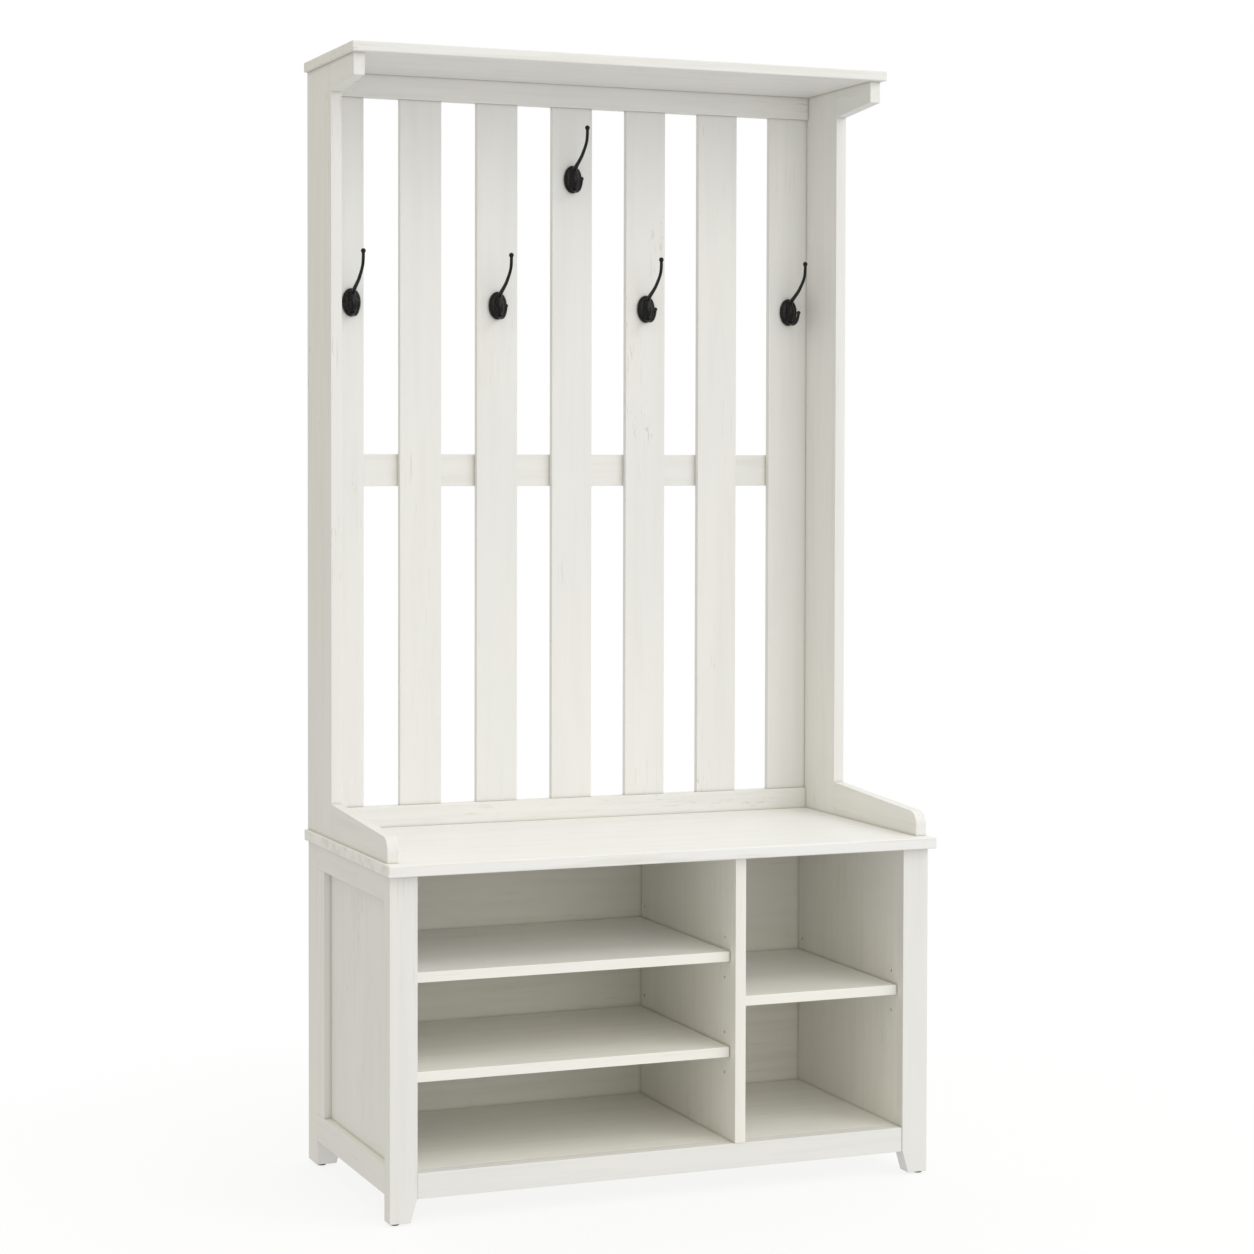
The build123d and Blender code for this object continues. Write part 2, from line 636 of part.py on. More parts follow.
def export_all():
    os.makedirs("parts", exist_ok=True)
    for name, solid in parts.items():
        if cutters[name]:
            solid = solid.cut(*cutters[name])
        export_step(solid, f"parts/{name}.step")
    for name, solids in groups.items():
        export_step(Compound(children=[piece.solid() for piece in solids]), f"parts/{name}.step")


build_bench_boards()
for side_name, side_sign in sides.items():
    build_side(side_name, side_sign)
build_cubby_shelves()
build_divider_joints()
build_glides()
build_rack_boards()
build_slats()
build_rack_joints()
for hook_name, hook_place in hook_rows.items():
    build_hook(hook_name, *hook_place)
export_all()
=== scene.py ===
import math

import bmesh
import bpy
from mathutils import Matrix, Vector


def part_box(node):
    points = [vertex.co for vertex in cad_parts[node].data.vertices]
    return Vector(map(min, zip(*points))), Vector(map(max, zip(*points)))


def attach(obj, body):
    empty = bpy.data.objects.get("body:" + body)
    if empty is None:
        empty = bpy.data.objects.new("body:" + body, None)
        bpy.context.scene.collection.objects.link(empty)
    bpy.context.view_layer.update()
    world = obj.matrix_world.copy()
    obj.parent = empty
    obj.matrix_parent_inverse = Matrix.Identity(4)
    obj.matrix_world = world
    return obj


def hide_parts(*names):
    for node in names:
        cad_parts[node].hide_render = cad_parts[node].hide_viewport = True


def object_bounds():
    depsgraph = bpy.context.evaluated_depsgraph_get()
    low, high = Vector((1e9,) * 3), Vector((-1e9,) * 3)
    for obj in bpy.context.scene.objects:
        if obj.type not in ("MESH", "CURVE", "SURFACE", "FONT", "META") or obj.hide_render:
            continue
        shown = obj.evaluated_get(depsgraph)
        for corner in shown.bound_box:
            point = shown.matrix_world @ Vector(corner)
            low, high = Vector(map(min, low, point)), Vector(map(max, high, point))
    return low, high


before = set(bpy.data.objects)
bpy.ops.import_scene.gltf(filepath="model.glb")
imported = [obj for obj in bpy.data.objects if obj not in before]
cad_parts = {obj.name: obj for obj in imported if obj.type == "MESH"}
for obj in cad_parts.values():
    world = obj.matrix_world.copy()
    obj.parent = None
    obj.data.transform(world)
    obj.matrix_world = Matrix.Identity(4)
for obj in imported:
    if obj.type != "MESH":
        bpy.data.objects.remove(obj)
cadLow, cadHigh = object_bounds()
scene = bpy.context.scene
print("hall tree loaded:", len(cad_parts), "pieces")


cameraSetup = {
    "position": (-1.72855, -4.32171, 1.15183),  # metres, in front of the left corner
    "yaw": 21.974,      # degrees turned to the right of straight ahead
    "pitch": -1.555,    # degrees below level
    "roll": 0.0022,     # radians
    "lens": 82.39,
    "shiftY": -0.07,
}


def makeCamera(setup):
    data = bpy.data.cameras.new("mainCamera")
    data.lens = setup["lens"]
    data.sensor_width = 36
    data.shift_y = setup["shiftY"]
    data.clip_end = 50
    camera = bpy.data.objects.new("mainCamera", data)
    turn = Matrix.Rotation(-math.radians(setup["yaw"]), 4, "Z")
    tilt = Matrix.Rotation(math.radians(90 + setup["pitch"]), 4, "X")
    roll = Matrix.Rotation(setup["roll"], 4, "Z")
    camera.matrix_world = Matrix.Translation(setup["position"]) @ turn @ tilt @ roll
    scene.collection.objects.link(camera)
    scene.camera = camera
    return camera


makeCamera(cameraSetup)
scene.view_settings.view_transform = "Standard"
print("camera placed")


# small helpers for node trees
def addNode(tree, kind, x, y, values=None, **settings):
    node = tree.nodes.new(kind)
    node.location = (x, y)
    for name, value in settings.items():
        setattr(node, name, value)
    for name, value in (values or {}).items():
        node.inputs[name].default_value = value
    return node


def feed(tree, socket, value):
    # value is either another node's output or a plain number
    if isinstance(value, bpy.types.NodeSocket):
        tree.links.new(value, socket)
    else:
        socket.default_value = value


def calc(tree, operation, first, second, x, y, clamp=False):
    node = addNode(tree, "ShaderNodeMath", x, y, operation=operation, use_clamp=clamp)
    feed(tree, node.inputs[0], first)
    feed(tree, node.inputs[1], second)
    return node.outputs[0]


def ramp(tree, value, low, high, x, y, toLow=0.0, toHigh=1.0):
    node = addNode(tree, "ShaderNodeMapRange", x, y, interpolation_type="SMOOTHSTEP")
    feed(tree, node.inputs["Value"], value)
    node.inputs["From Min"].default_value = low
    node.inputs["From Max"].default_value = high
    node.inputs["To Min"].default_value = toLow
    node.inputs["To Max"].default_value = toHigh
    return node.outputs["Result"]


def blend(tree, factor, first, second, x, y, how="MIX"):
    node = addNode(tree, "ShaderNodeMix", x, y, data_type="RGBA", blend_type=how)
    feed(tree, node.inputs[0], factor)
    for socket, value in ((node.inputs[6], first), (node.inputs[7], second)):
        if isinstance(value, bpy.types.NodeSocket):
            tree.links.new(value, socket)
        else:
            socket.default_value = (*value, 1.0)
    return node.outputs[2]


def stretched(tree, position, stretch, x, y):
    node = addNode(tree, "ShaderNodeVectorMath", x, y, operation="MULTIPLY")
    tree.links.new(position, node.inputs[0])
    node.inputs[1].default_value = stretch
    return node.outputs[0]


def cloud(tree, position, scale, detail, x, y, roughness=0.5, distortion=0.0):
    node = addNode(tree, "ShaderNodeTexNoise", x, y, {
        "Scale": scale, "Detail": detail, "Roughness": roughness, "Distortion": distortion})
    tree.links.new(position, node.inputs["Vector"])
    return node.outputs["Fac"]


def newGroup(name, inputs, outputs):
    group = bpy.data.node_groups.new(name, "ShaderNodeTree")
    for label, kind, value in inputs:
        socket = group.interface.new_socket(name=label, in_out="INPUT", socket_type=kind)
        if value is not None:
            socket.default_value = value
    for label, kind in outputs:
        group.interface.new_socket(name=label, in_out="OUTPUT", socket_type=kind)
    start = addNode(group, "NodeGroupInput", -1200, 0)
    end = addNode(group, "NodeGroupOutput", 600, 0)
    return group, start.outputs, end.inputs


def placeGroup(tree, group, x, y, values=None):
    node = addNode(tree, "ShaderNodeGroup", x, y)
    node.node_tree = group
    for name, value in (values or {}).items():
        feed(tree, node.inputs[name], value)
    return node


grainLook = {
    "streakScale": 62, "streakLength": 0.05,
    "fibreScale": 720, "fibreLength": 0.02,
    "fleckScale": 250, "fleckLength": 0.13,
    "hairScale": 330, "hairLength": 0.035, "hairStrength": 0.45,
    "patchScale": 6.5, "patchLength": 0.45,
}


def makeWoodGrain(look):
    # Position runs along the grain in Z, across it in X and Y
    group, start, end = newGroup(
        "woodGrain",
        [("Position", "NodeSocketVector", None), ("Fleck Cover", "NodeSocketFloat", 0.5)],
        [("Streaks", "NodeSocketFloat"), ("Flecks", "NodeSocketFloat"),
         ("Patches", "NodeSocketFloat"), ("Height", "NodeSocketFloat")],
    )
    place = start["Position"]
    streakPlace = stretched(group, place, (1, 1, look["streakLength"]), -1000, 300)
    streaks = cloud(group, streakPlace, look["streakScale"], 4, -800, 300, 0.6, 0.3)
    fibrePlace = stretched(group, place, (1, 1, look["fibreLength"]), -1000, 100)
    fibres = cloud(group, fibrePlace, look["fibreScale"], 3, -800, 100, 0.65)
    patchPlace = stretched(group, place, (1, 1, look["patchLength"]), -1000, -100)
    patches = cloud(group, patchPlace, look["patchScale"], 3, -800, -100, 0.5, 0.4)

    fleckPlace = stretched(group, place, (1, 1, look["fleckLength"]), -1000, -300)
    fleckField = cloud(group, fleckPlace, look["fleckScale"], 2, -800, -300, 0.55, 0.9)
    fleckDots = ramp(group, fleckField, 0.60, 0.69, -600, -300)
    clusterPlace = stretched(group, place, (1, 1, 0.35), -1000, -500)
    clusters = cloud(group, clusterPlace, 11, 2, -800, -500, 0.5, 0.5)
    # a higher cover lets the clusters spread further
    coverShare = calc(group, "MULTIPLY", start["Fleck Cover"], 0.2, -800, -650)
    clusterEdge = calc(group, "SUBTRACT", 0.72, coverShare, -600, -650)
    clusterOver = calc(group, "SUBTRACT", clusters, clusterEdge, -450, -500)
    clusterMask = ramp(group, clusterOver, 0.0, 0.07, -300, -500)
    flecks = calc(group, "MULTIPLY", fleckDots, clusterMask, -100, -350)

    hairPlace = stretched(group, place, (1, 1, look["hairLength"]), -1000, -800)
    hairField = cloud(group, hairPlace, look["hairScale"], 2, -800, -800, 0.5, 0.2)
    hairs = ramp(group, hairField, 0.62, 0.70, -600, -800)
    hairZone = ramp(group, clusters, 0.50, 0.62, -450, -800)
    zoned = calc(group, "MULTIPLY", hairs, hairZone, -300, -800)
    hairLines = calc(group, "MULTIPLY", zoned, look["hairStrength"], -150, -800)
    allFlecks = calc(group, "MAXIMUM", flecks, hairLines, 50, -400)

    height = calc(group, "ADD", calc(group, "MULTIPLY", fibres, 0.6, -500, 100),
                  calc(group, "MULTIPLY", streaks, 0.4, -500, 250), -300, 150)
    height = calc(group, "SUBTRACT", height, calc(group, "MULTIPLY", allFlecks, 0.7, 200, -300), 350, 100)
    group.links.new(streaks, end["Streaks"])
    group.links.new(allFlecks, end["Flecks"])
    group.links.new(patches, end["Patches"])
    group.links.new(height, end["Height"])
    return group


def makeEdgeMask():
    # 1 along outer edges, 0 on open faces
    group, start, end = newGroup(
        "edgeMask",
        [("Radius", "NodeSocketFloat", 0.0015)],
        [("Edges", "NodeSocketFloat")],
    )
    bevel = addNode(group, "ShaderNodeBevel", -800, 0, samples=4)
    group.links.new(start["Radius"], bevel.inputs["Radius"])
    geometry = addNode(group, "ShaderNodeNewGeometry", -800, -200)
    dot = addNode(group, "ShaderNodeVectorMath", -600, 0, operation="DOT_PRODUCT")
    group.links.new(bevel.outputs["Normal"], dot.inputs[0])
    group.links.new(geometry.outputs["True Normal"], dot.inputs[1])
    turned = calc(group, "SUBTRACT", 1.0, dot.outputs["Value"], -400, 0, clamp=True)
    group.links.new(ramp(group, turned, 0.01, 0.16, -200, 0), end["Edges"])
    return group


def makeCornerDust():
    # painted shade: 1 deep in the corners where boards meet, 0 in the open, read from the occlusion there
    group, start, end = newGroup(
        "cornerShade",
        [("Reach", "NodeSocketFloat", 0.02)],
        [("Painted Shade", "NodeSocketFloat")],
    )
    occlusion = addNode(group, "ShaderNodeAmbientOcclusion", -700, 0, samples=8)
    group.links.new(start["Reach"], occlusion.inputs["Distance"])
    group.links.new(ramp(group, occlusion.outputs["AO"], 0.45, 0.95, -400, 0, 1.0, 0.0), end["Painted Shade"])
    return group


def makeCastSkin():
    # fine skin of cast, coated or plated metal and moulded plastic
    group, start, end = newGroup(
        "castSkin",
        [("Position", "NodeSocketVector", None), ("Grain Scale", "NodeSocketFloat", 900.0)],
        [("Blotches", "NodeSocketFloat"), ("Height", "NodeSocketFloat")],
    )
    fine = addNode(group, "ShaderNodeTexNoise", -700, 100, {"Detail": 3, "Roughness": 0.6})
    group.links.new(start["Position"], fine.inputs["Vector"])
    group.links.new(start["Grain Scale"], fine.inputs["Scale"])
    blotches = cloud(group, start["Position"], 140, 3, -700, -150, 0.55, 0.4)
    height = calc(group, "ADD", calc(group, "MULTIPLY", fine.outputs["Fac"], 0.5, -450, 100),
                  calc(group, "MULTIPLY", blotches, 0.5, -450, -50), -250, 50)
    group.links.new(blotches, end["Blotches"])
    group.links.new(height, end["Height"])
    return group


woodGrain = makeWoodGrain(grainLook)
edgeMask = makeEdgeMask()
cornerShade = makeCornerDust()
castSkin = makeCastSkin()
print("shared effects built")


boardLooks = {
    "streak": (0.765, 0.752, 0.700),
    "warm": (0.866, 0.858, 0.828),
    "cool": (0.846, 0.846, 0.826),
    "fleck": (0.43, 0.39, 0.31),
    # painted highlight colour for the edges
    "paintedEdgeHighlight": (0.955, 0.95, 0.93),
    # painted shade colour for corners and creases
    "edgeWorn": (0.64, 0.60, 0.50),
    "paintedShade": (0.50, 0.475, 0.40),
    "roughness": 0.46,
    "gloss": 0.38,
    "fleckMix": 0.40,
    # strength and reach of the painted corner shade
    "paintedShadeMix": 0.45, "paintedShadeReach": 0.007,
    # strength of the painted edge highlight; the edge width serves it and the rubbed wear
    "edgeHighlightMix": 0.95, "edgeWidth": 0.0012,
    "wornMix": 0.55,
    "bumpStrength": 0.28, "bumpDepth": 0.0005,
}
plain = (1, 1, 1)

grainTurns = {
    "X": (0.0, math.radians(90), 0.0),
    "Y": (math.radians(90), 0.0, 0.0),
    "Z": (0.0, 0.0, 0.0),
}


def emptyMaterial(name):
    material = bpy.data.materials.new(name)
    material.use_nodes = True
    tree = material.node_tree
    tree.nodes.clear()
    out = addNode(tree, "ShaderNodeOutputMaterial", 900, 0)
    shader = addNode(tree, "ShaderNodeBsdfPrincipled", 600, 0)
    tree.links.new(shader.outputs[0], out.inputs[0])
    return material, tree, shader


def paintedBoard(name, grainAlong, shift, flecks, streaking, tone=plain, sideStreaks=0.0):
    look = boardLooks
    material, tree, shader = emptyMaterial(name)
    coordinates = addNode(tree, "ShaderNodeTexCoord", -1500, 0)
    turn = addNode(tree, "ShaderNodeMapping", -1300, 0)
    turn.inputs["Rotation"].default_value = grainTurns[grainAlong]
    turn.inputs["Location"].default_value = shift
    tree.links.new(coordinates.outputs["Object"], turn.inputs["Vector"])
    grain = placeGroup(tree, woodGrain, -1050, 0, {"Position": turn.outputs[0], "Fleck Cover": flecks})
    edges = placeGroup(tree, edgeMask, -1050, -300, {"Radius": look["edgeWidth"]}).outputs["Edges"]
    # mask for the painted shade in corners and creases
    paintedShade = placeGroup(tree, cornerShade, -1050, -450, {"Reach": look["paintedShadeReach"]}).outputs["Painted Shade"]

    patchMix = ramp(tree, grain.outputs["Patches"], 0.36, 0.64, -800, 300)
    colour = blend(tree, patchMix, look["cool"], look["warm"], -600, 300)
    streakMix = ramp(tree, grain.outputs["Streaks"], 0.42, 0.78, -800, 100, 0.0, streaking)
    if sideStreaks:
        # the sawn edges of a top take more stain than its face
        geometry = addNode(tree, "ShaderNodeNewGeometry", -1300, 500)
        split = addNode(tree, "ShaderNodeSeparateXYZ", -1150, 500)
        tree.links.new(geometry.outputs["True Normal"], split.inputs[0])
        level = calc(tree, "ABSOLUTE", split.outputs["Z"], 0.0, -1000, 500)
        upright = calc(tree, "SUBTRACT", 1.0, level, -850, 500, clamp=True)
        edgeStreaks = ramp(tree, grain.outputs["Streaks"], 0.46, 0.60, -850, 350, 0.0, sideStreaks)
        edgeStreaks = calc(tree, "MULTIPLY", upright, edgeStreaks, -700, 450)
        streakMix = calc(tree, "MAXIMUM", streakMix, edgeStreaks, -600, 400)
    colour = blend(tree, streakMix, colour, look["streak"], -400, 250)
    fleckMix = calc(tree, "MULTIPLY", grain.outputs["Flecks"], look["fleckMix"], -600, 50)
    colour = blend(tree, fleckMix, colour, look["fleck"], -200, 200)
    # painted shade: corners and creases darkened towards a dim beige, standing in for the shade that
    # falls there
    paintedShadeMix = calc(tree, "MULTIPLY", paintedShade, look["paintedShadeMix"], -600, -450)
    colour = blend(tree, paintedShadeMix, colour, look["paintedShade"], 0, 150)
    # edges: painted highlight, the colour lifted along every edge, with a rubbed spot of real wear here
    # and there
    edgeHighlightMix = calc(tree, "MULTIPLY", edges, look["edgeHighlightMix"], -600, -250)
    colour = blend(tree, edgeHighlightMix, colour, look["paintedEdgeHighlight"], 150, 100)
    rubbed = ramp(tree, grain.outputs["Patches"], 0.56, 0.66, -800, -200, 0.0, look["wornMix"])
    rubbed = calc(tree, "MULTIPLY", edges, rubbed, -400, -200)
    broken = ramp(tree, grain.outputs["Streaks"], 0.45, 0.60, -600, -120)
    rubbedEdge = calc(tree, "MULTIPLY", rubbed, broken, -200, -200)
    colour = blend(tree, rubbedEdge, colour, look["edgeWorn"], 300, 100)
    # painted light: the tone lifts the whole board, and warms the pieces inside the cubbies, for how
    # light falls on them
    if tone != plain:
        colour = blend(tree, 1.0, colour, tone, 430, 100, "MULTIPLY")
    tree.links.new(colour, shader.inputs["Base Color"])

    smooth, rough = look["roughness"] - 0.05, look["roughness"] + 0.08
    roughness = ramp(tree, grain.outputs["Streaks"], 0.3, 0.7, -200, -350, smooth, rough)
    fleckRoughness = calc(tree, "MULTIPLY", grain.outputs["Flecks"], 0.15, 0, -400)
    roughness = calc(tree, "ADD", roughness, fleckRoughness, 150, -350)
    tree.links.new(roughness, shader.inputs["Roughness"])
    bump = addNode(tree, "ShaderNodeBump", 350, -400, {
        "Strength": look["bumpStrength"], "Distance": look["bumpDepth"]})
    tree.links.new(grain.outputs["Height"], bump.inputs["Height"])
    tree.links.new(bump.outputs[0], shader.inputs["Normal"])
    shader.inputs["Specular IOR Level"].default_value = look["gloss"]
    return material


def dress(material, *nodes):
    for name in nodes:
        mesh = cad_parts[name].data
        if not mesh.materials:
            mesh.materials.append(material)
        for place in range(len(mesh.materials)):
            mesh.materials[place] = material


# grain direction, shift of the pattern, fleck cover, streaks, tone, stain on the upright faces; the tone
# is painted light, lighter copies of the same paint, warmer on the pieces inside the cubbies
paints = {
    "paintedBenchTop": ("X", (0.3, 0.1, 0.7), 0.3, 0.32, (1.06, 1.06, 1.07), 0.8),
    "paintedTopShelf": ("X", (1.3, 0.6, 0.2), 0.3, 0.35, plain, 0.45),
    "paintedRails": ("X", (0.9, 0.2, 1.1), 0.45, 0.5),
    "paintedShelves": ("X", (2.1, 0.4, 0.5), 0.25, 0.35, (1.09, 1.08, 1.05)),
    "backBoardFace": ("X", (0.1, 1.4, 0.6), 0.5, 0.55, (1.05, 1.035, 0.99)),
    "paintedCrossRails": ("Y", (0.5, 0.8, 1.9), 0.45, 0.5),
    "paintedUprights": ("Z", (0.7, 0.3, 0.4), 0.6, 0.4),
    "paintedSlats": ("Z", (0.2, 1.7, 0.9), 0.42, 0.3),
    "paintedSidePanels": ("Z", (1.1, 0.9, 0.3), 0.4, 0.28),
    "paintedLiners": ("Z", (1.6, 0.2, 1.2), 0.35, 0.4, (1.06, 1.05, 1.015)),
}
paintedNodes = {
    "paintedBenchTop": ["bench_top"],
    "paintedTopShelf": ["top_shelf"],
    "paintedRails": ["top_rail", "mid_rail", "bottom_rail", "front_apron"],
    "paintedShelves": ["shelf_left_lower", "shelf_left_upper", "shelf_right", "floor_board"],
    "backBoardFace": ["back_panel"],
    "paintedSlats": ["slat_" + str(count) for count in range(1, 8)],
    "paintedLiners": ["divider"],
}
pairedNodes = {
    "paintedCrossRails": ["side_top_rail_", "side_bottom_rail_", "ear_", "bracket_"],
    "paintedUprights": ["front_leg_", "back_leg_", "upright_", "side_stile_"],
    "paintedSidePanels": ["side_panel_"],
    "paintedLiners": ["side_liner_"],
}
for paint, settings in paints.items():
    board = paintedBoard(paint, *settings)
    dress(board, *paintedNodes.get(paint, []))
    for stem in pairedNodes.get(paint, []):
        dress(board, stem + "left", stem + "right")
print("boards painted")


metalFinishes = {
    "blackCoatedHook": {
        "colour": (0.005, 0.005, 0.0055), "worn": (0.034, 0.033, 0.032), "wornAmount": 0.5,
        "roughness": 0.30, "metallic": 0.0, "gloss": 0.24,
        "grainScale": 1100, "bumpDepth": 0.00016},
    "blackenedScrew": {
        "colour": (0.02, 0.02, 0.02), "worn": (0.08, 0.08, 0.08), "wornAmount": 0.5,
        "roughness": 0.38, "metallic": 0.6, "gloss": 0.5,
        "grainScale": 1400, "bumpDepth": 0.0001},
    "brightZinc": {
        "colour": (0.56, 0.56, 0.55), "worn": (0.72, 0.72, 0.71), "wornAmount": 0.6,
        "roughness": 0.32, "metallic": 1.0, "gloss": 0.5,
        "grainScale": 1600, "bumpDepth": 0.0001},
    "castZinc": {
        "colour": (0.42, 0.42, 0.42), "worn": (0.6, 0.6, 0.6), "wornAmount": 0.5,
        "roughness": 0.48, "metallic": 1.0, "gloss": 0.5,
        "grainScale": 900, "bumpDepth": 0.0002},
    "blackGlide": {
        "colour": (0.018, 0.018, 0.018), "worn": (0.05, 0.05, 0.05), "wornAmount": 0.4,
        "roughness": 0.55, "metallic": 0.0, "gloss": 0.5,
        "grainScale": 800, "bumpDepth": 0.0002},
}
metalNodes = {
    "blackenedScrew": ["hook_screws"],
    "brightZinc": ["frame_screws", "slat_screws", "back_panel_screws", "cam_bolts", "shelf_pins"],
    "castZinc": ["cam_locks"],
    "blackGlide": ["leg_glides"],
}


def metalFinish(name, finish):
    material, tree, shader = emptyMaterial(name)
    coordinates = addNode(tree, "ShaderNodeTexCoord", -1100, 0)
    skin = placeGroup(tree, castSkin, -850, 0, {
        "Position": coordinates.outputs["Object"], "Grain Scale": finish["grainScale"]})
    edges = placeGroup(tree, edgeMask, -850, -250, {"Radius": 0.0006})
    lift = ramp(tree, skin.outputs["Blotches"], 0.35, 0.70, -600, 150, 0.0, 0.30)
    base = blend(tree, lift, finish["colour"], finish["worn"], -400, 150)
    rub = calc(tree, "MULTIPLY", edges.outputs["Edges"], finish["wornAmount"], -600, -250)
    base = blend(tree, rub, base, finish["worn"], -200, 100)
    tree.links.new(base, shader.inputs["Base Color"])
    smooth, rough = finish["roughness"] - 0.07, finish["roughness"] + 0.09
    roughness = ramp(tree, skin.outputs["Blotches"], 0.3, 0.7, -200, -150, smooth, rough)
    tree.links.new(roughness, shader.inputs["Roughness"])
    bump = addNode(tree, "ShaderNodeBump", 100, -300, {"Strength": 0.35, "Distance": finish["bumpDepth"]})
    tree.links.new(skin.outputs["Height"], bump.inputs["Height"])
    tree.links.new(bump.outputs[0], shader.inputs["Normal"])
    shader.inputs["Metallic"].default_value = finish["metallic"]
    shader.inputs["Specular IOR Level"].default_value = finish["gloss"]
    return material


def bareBeech(name):
    material, tree, shader = emptyMaterial(name)
    coordinates = addNode(tree, "ShaderNodeTexCoord", -1100, 0)
    grain = placeGroup(tree, woodGrain, -850, 0, {
        "Position": coordinates.outputs["Object"], "Fleck Cover": 0.9})
    tone = blend(tree, grain.outputs["Streaks"], (0.62, 0.42, 0.24), (0.74, 0.55, 0.35), -500, 100)
    fleckMix = calc(tree, "MULTIPLY", grain.outputs["Flecks"], 0.5, -500, -100)
    tone = blend(tree, fleckMix, tone, (0.38, 0.22, 0.11), -250, 100)
    tree.links.new(tone, shader.inputs["Base Color"])
    roughness = ramp(tree, grain.outputs["Streaks"], 0.3, 0.7, -200, -150, 0.55, 0.7)
    tree.links.new(roughness, shader.inputs["Roughness"])
    bump = addNode(tree, "ShaderNodeBump", 100, -300, {"Strength": 0.4, "Distance": 0.0004})
    tree.links.new(grain.outputs["Height"], bump.inputs["Height"])
    tree.links.new(bump.outputs[0], shader.inputs["Normal"])
    return material


hookBlack = metalFinish("blackCoatedHook", metalFinishes["blackCoatedHook"])
for finish, nodes in metalNodes.items():
    dress(metalFinish(finish, metalFinishes[finish]), *nodes)
dress(bareBeech("bareBeech"), "wood_dowels", "slim_dowels")
print("hardware finished")


coatHook = {
    "nodes": (
        "hook_top", "hook_far_left", "hook_centre_left", "hook_centre_right", "hook_far_right"),
    "middleToTop": 0.084,           # from the plate's middle to the top of the upper ball
    "plateHalf": (0.01575, 0.02325),
    # (share of the half size, distance out from the slat)
    "plateProfile": (
        (1.0, 0.0), (1.0, 0.0030), (0.985, 0.0042), (0.94, 0.0052),
        (0.84, 0.0062), (0.66, 0.0070), (0.42, 0.0075), (0.18, 0.0077)),
    # (out, up, radius) along the pieces, all in metres
    "spine": (
        (0.0045, 0.0200, 0.0022), (0.0080, 0.0150, 0.0034), (0.0108, 0.0070, 0.0044),
        (0.0116, -0.0010, 0.0047), (0.0106, -0.0090, 0.0044), (0.0070, -0.0160, 0.0034),
        (0.0040, -0.0200, 0.0024)),
    "spineWiden": 1.55,
    "upperProng": (
        (0.0070, 0.0130, 0.0040), (0.0180, 0.0205, 0.0036), (0.0324, 0.0282, 0.0032),
        (0.0445, 0.0355, 0.0030), (0.0551, 0.0444, 0.0028), (0.0630, 0.0522, 0.0027),
        (0.0680, 0.0600, 0.0027), (0.0700, 0.0700, 0.0027), (0.0700, 0.0790, 0.0027)),
    "upperBall": (0.0700, 0.0798, 0.0042),
    "lowerArc": {
        "middle": (0.0225, 0.0015), "radius": 0.022,
        "from": -150, "to": -12, "steps": 22, "thick": (0.0040, 0.0025)},
    "lowerBall": (0.0442, -0.0023, 0.0035),
    "voxel": 0.00075,
    "sides": 20,
    "steps": 5,
    "softening": 0.6, "softenings": 5,
}


def smoothPath(points, steps):
    # a smooth line through the points, each given as (out, up, radius)
    rows = [Vector(point) for point in points]
    rows = [rows[0] * 2 - rows[1]] + rows + [rows[-1] * 2 - rows[-2]]
    path = []
    for i in range(1, len(rows) - 2):
        before, here, there, after = rows[i - 1:i + 3]
        for step in range(steps):
            t = step / steps
            path.append(0.5 * (2 * here + (there - before) * t
                               + (2 * before - 5 * here + 4 * there - after) * t ** 2
                               + (3 * here - before - 3 * there + after) * t ** 3))
    path.append(rows[-2])
    return path


def joinRings(mesh, rings):
    # a closed skin over a row of rings
    count = len(rings[0])
    for near, far in zip(rings, rings[1:]):
        for k in range(count):
            mesh.faces.new((near[k], near[(k + 1) % count], far[(k + 1) % count], far[k]))
    mesh.faces.new(rings[0][::-1])
    mesh.faces.new(rings[-1])


def sweep(mesh, path, sides, widen=1.0):
    # a round bar along (out, up, radius), lying in the plane x = 0
    rings = []
    for i, here in enumerate(path):
        ahead = path[min(i + 1, len(path) - 1)] - path[max(i - 1, 0)]
        across = Vector((0, -ahead[1], -ahead[0])).normalized()  # square to the bar, in its plane
        centre = Vector((0, -here[0], here[1]))
        ring = []
        for k in range(sides):
            turn = 2 * math.pi * k / sides
            offset = Vector((math.cos(turn) * widen, 0, 0)) + across * math.sin(turn)
            ring.append(mesh.verts.new(centre + offset * here[2]))
        rings.append(ring)
    joinRings(mesh, rings)


def ball(mesh, out, up, radius):
    place = Matrix.Translation((0, -out, up))
    bmesh.ops.create_icosphere(mesh, subdivisions=3, radius=radius, matrix=place)


def ovalPlate(mesh, half, profile, count=72):
    rings = []
    for share, out in profile:
        ring = []
        for k in range(count):
            turn = 2 * math.pi * k / count
            across, up = half[0] * share * math.cos(turn), half[1] * share * math.sin(turn)
            ring.append(mesh.verts.new((across, -out, up)))
        rings.append(ring)
    joinRings(mesh, rings)


